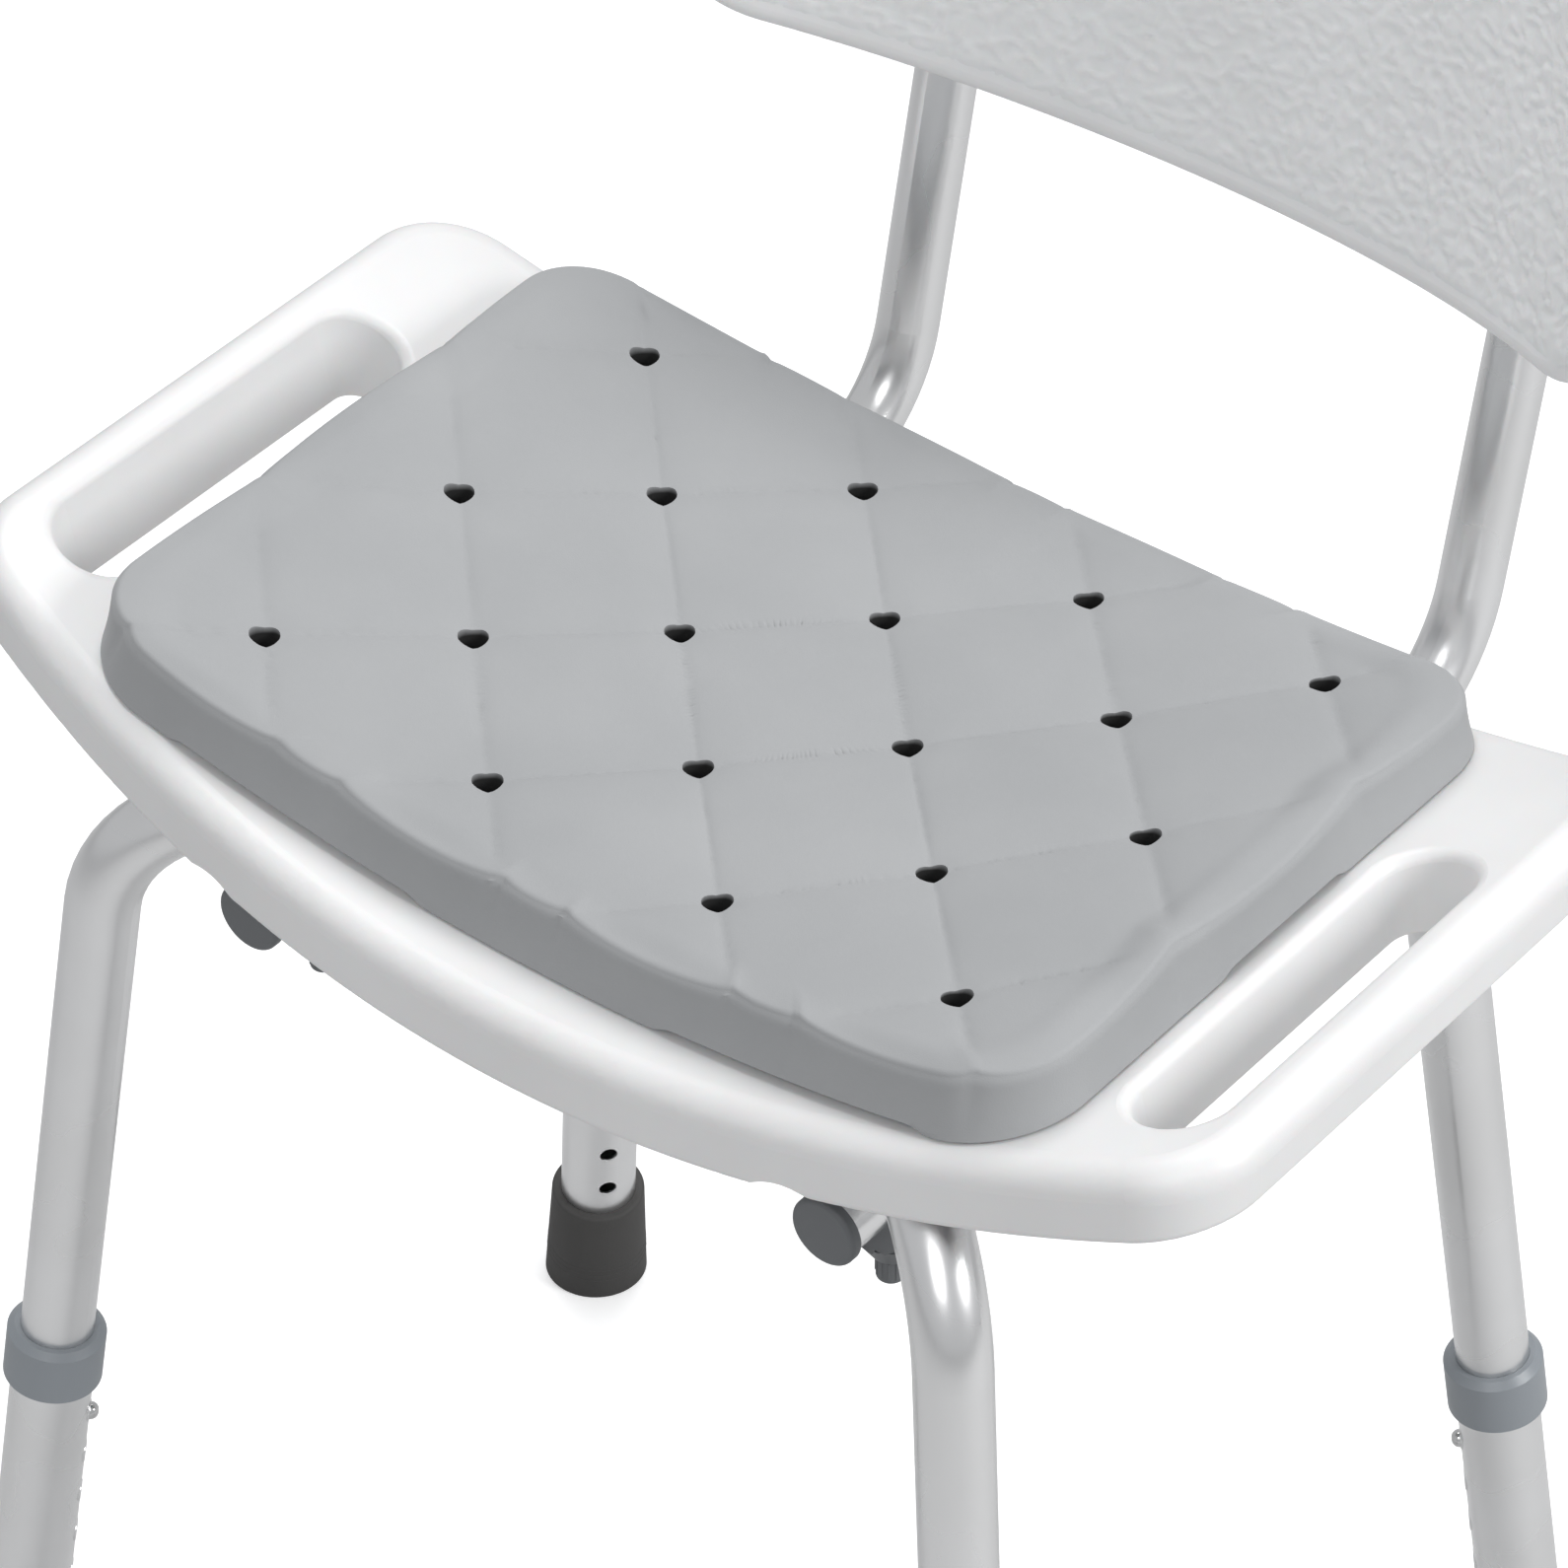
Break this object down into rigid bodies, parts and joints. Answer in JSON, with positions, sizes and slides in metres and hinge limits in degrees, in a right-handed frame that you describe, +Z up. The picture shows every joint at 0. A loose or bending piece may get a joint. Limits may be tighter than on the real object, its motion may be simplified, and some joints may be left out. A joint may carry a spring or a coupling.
{
  "type": "shower chair",
  "caption": "Shower chair with a dished hand-grip seat, lift-off quilted foam pad, curved backrest and telescoping aluminium legs on rubber feet.",
  "frame": {"origin": "on the floor, under the middle of the chair's footprint", "axes": "+X to the right seen from the front, +Y to the rear, +Z up"},
  "size_m": [0.506, 0.4796, 0.7705],
  "materials": {
    "seat_plastic": "smooth satin moulding",
    "backrest_plastic": "embossed leather grain",
    "foam": "matt closed-cell foam, quilted",
    "aluminium": "satin anodised",
    "grey_plastic": "moulded",
    "collar_plastic": "moulded, smooth",
    "rubber": "matt",
    "chrome": "polished",
    "steel": "zinc plated",
    "brass": "turned"
  },
  "bodies": {
    "frame": {"seat_panel": "seat_plastic", "seat_inserts": "brass", "backrest_panel": "backrest_plastic", "backrest_screws": "steel", "leg_frame_upper": "aluminium", "leg_frame_lower": "aluminium", "cross_bolt": "steel", "cross_washer": "steel", "cross_nut": "steel", "back_tube_left": "aluminium", "back_tube_cap_left": "grey_plastic", "back_tube_right": "aluminium", "back_tube_cap_right": "grey_plastic", "clamp_saddle_front_left": "grey_plastic", "button_spring_front_left": "steel", "clamp_saddle_front_right": "grey_plastic", "button_spring_front_right": "steel", "clamp_saddle_rear_left": "grey_plastic", "button_spring_rear_left": "steel", "clamp_saddle_rear_right": "grey_plastic", "button_spring_rear_right": "steel"},
    "pad": {"seat_pad": "foam"},
    "leg_front_left": {"lower_leg_front_left": "aluminium", "leg_collar_front_left": "collar_plastic", "foot_front_left": "rubber", "foot_washer_front_left": "steel"},
    "button_front_left": {"snap_button_front_left": "chrome"},
    "knob_front_left": {"clamp_knob_front_left": "grey_plastic", "clamp_stud_front_left": "steel"},
    "leg_front_right": {"lower_leg_front_right": "aluminium", "leg_collar_front_right": "collar_plastic", "foot_front_right": "rubber", "foot_washer_front_right": "steel"},
    "button_front_right": {"snap_button_front_right": "chrome"},
    "knob_front_right": {"clamp_knob_front_right": "grey_plastic", "clamp_stud_front_right": "steel"},
    "leg_rear_left": {"lower_leg_rear_left": "aluminium", "leg_collar_rear_left": "collar_plastic", "foot_rear_left": "rubber", "foot_washer_rear_left": "steel"},
    "button_rear_left": {"snap_button_rear_left": "chrome"},
    "knob_rear_left": {"clamp_knob_rear_left": "grey_plastic", "clamp_stud_rear_left": "steel"},
    "leg_rear_right": {"lower_leg_rear_right": "aluminium", "leg_collar_rear_right": "collar_plastic", "foot_rear_right": "rubber", "foot_washer_rear_right": "steel"},
    "button_rear_right": {"snap_button_rear_right": "chrome"},
    "knob_rear_right": {"clamp_knob_rear_right": "grey_plastic", "clamp_stud_rear_right": "steel"}
  },
  "joints": [
    {"name": "pad_lift", "type": "slide", "parent": "frame", "child": "pad", "axis": [0, 0, 1], "range_m": [0, 0.12]},
    {"name": "leg_height_front_left", "type": "slide", "parent": "frame", "child": "leg_front_left", "axis": [0.1113, 0.0836, 0.9903], "range_m": [0, 0.12]},
    {"name": "button_press_front_left", "type": "slide", "parent": "frame", "child": "button_front_left", "axis": [-0.7919, -0.5946, 0.1392], "range_m": [0, 0.005], "stiffness_N_per_m": 400, "springref_m": -0.004, "deforming": ["button_spring_front_left"]},
    {"name": "knob_turn_front_left", "type": "hinge", "parent": "frame", "child": "knob_front_left", "pos_m": [-0.118, -0.14213, 0.4], "axis": [0, 0, 1], "continuous": true},
    {"name": "leg_height_front_right", "type": "slide", "parent": "frame", "child": "leg_front_right", "axis": [-0.1113, 0.0836, 0.9903], "range_m": [0, 0.12]},
    {"name": "button_press_front_right", "type": "slide", "parent": "frame", "child": "button_front_right", "axis": [0.7919, -0.5946, 0.1392], "range_m": [0, 0.005], "stiffness_N_per_m": 400, "springref_m": -0.004, "deforming": ["button_spring_front_right"]},
    {"name": "knob_turn_front_right", "type": "hinge", "parent": "frame", "child": "knob_front_right", "pos_m": [0.118, -0.14213, 0.4], "axis": [0, 0, 1], "continuous": true},
    {"name": "leg_height_rear_left", "type": "slide", "parent": "frame", "child": "leg_rear_left", "axis": [0.1113, -0.0836, 0.9903], "range_m": [0, 0.12]},
    {"name": "button_press_rear_left", "type": "slide", "parent": "frame", "child": "button_rear_left", "axis": [-0.7919, 0.5946, 0.1392], "range_m": [0, 0.005], "stiffness_N_per_m": 400, "springref_m": -0.004, "deforming": ["button_spring_rear_left"]},
    {"name": "knob_turn_rear_left", "type": "hinge", "parent": "frame", "child": "knob_rear_left", "pos_m": [-0.118, 0.03507, 0.4], "axis": [0, 0, 1], "continuous": true},
    {"name": "leg_height_rear_right", "type": "slide", "parent": "frame", "child": "leg_rear_right", "axis": [-0.1113, -0.0836, 0.9903], "range_m": [0, 0.12]},
    {"name": "button_press_rear_right", "type": "slide", "parent": "frame", "child": "button_rear_right", "axis": [0.7919, 0.5946, 0.1392], "range_m": [0, 0.005], "stiffness_N_per_m": 400, "springref_m": -0.004, "deforming": ["button_spring_rear_right"]},
    {"name": "knob_turn_rear_right", "type": "hinge", "parent": "frame", "child": "knob_rear_right", "pos_m": [0.118, 0.03507, 0.4], "axis": [0, 0, 1], "continuous": true}
  ]
}
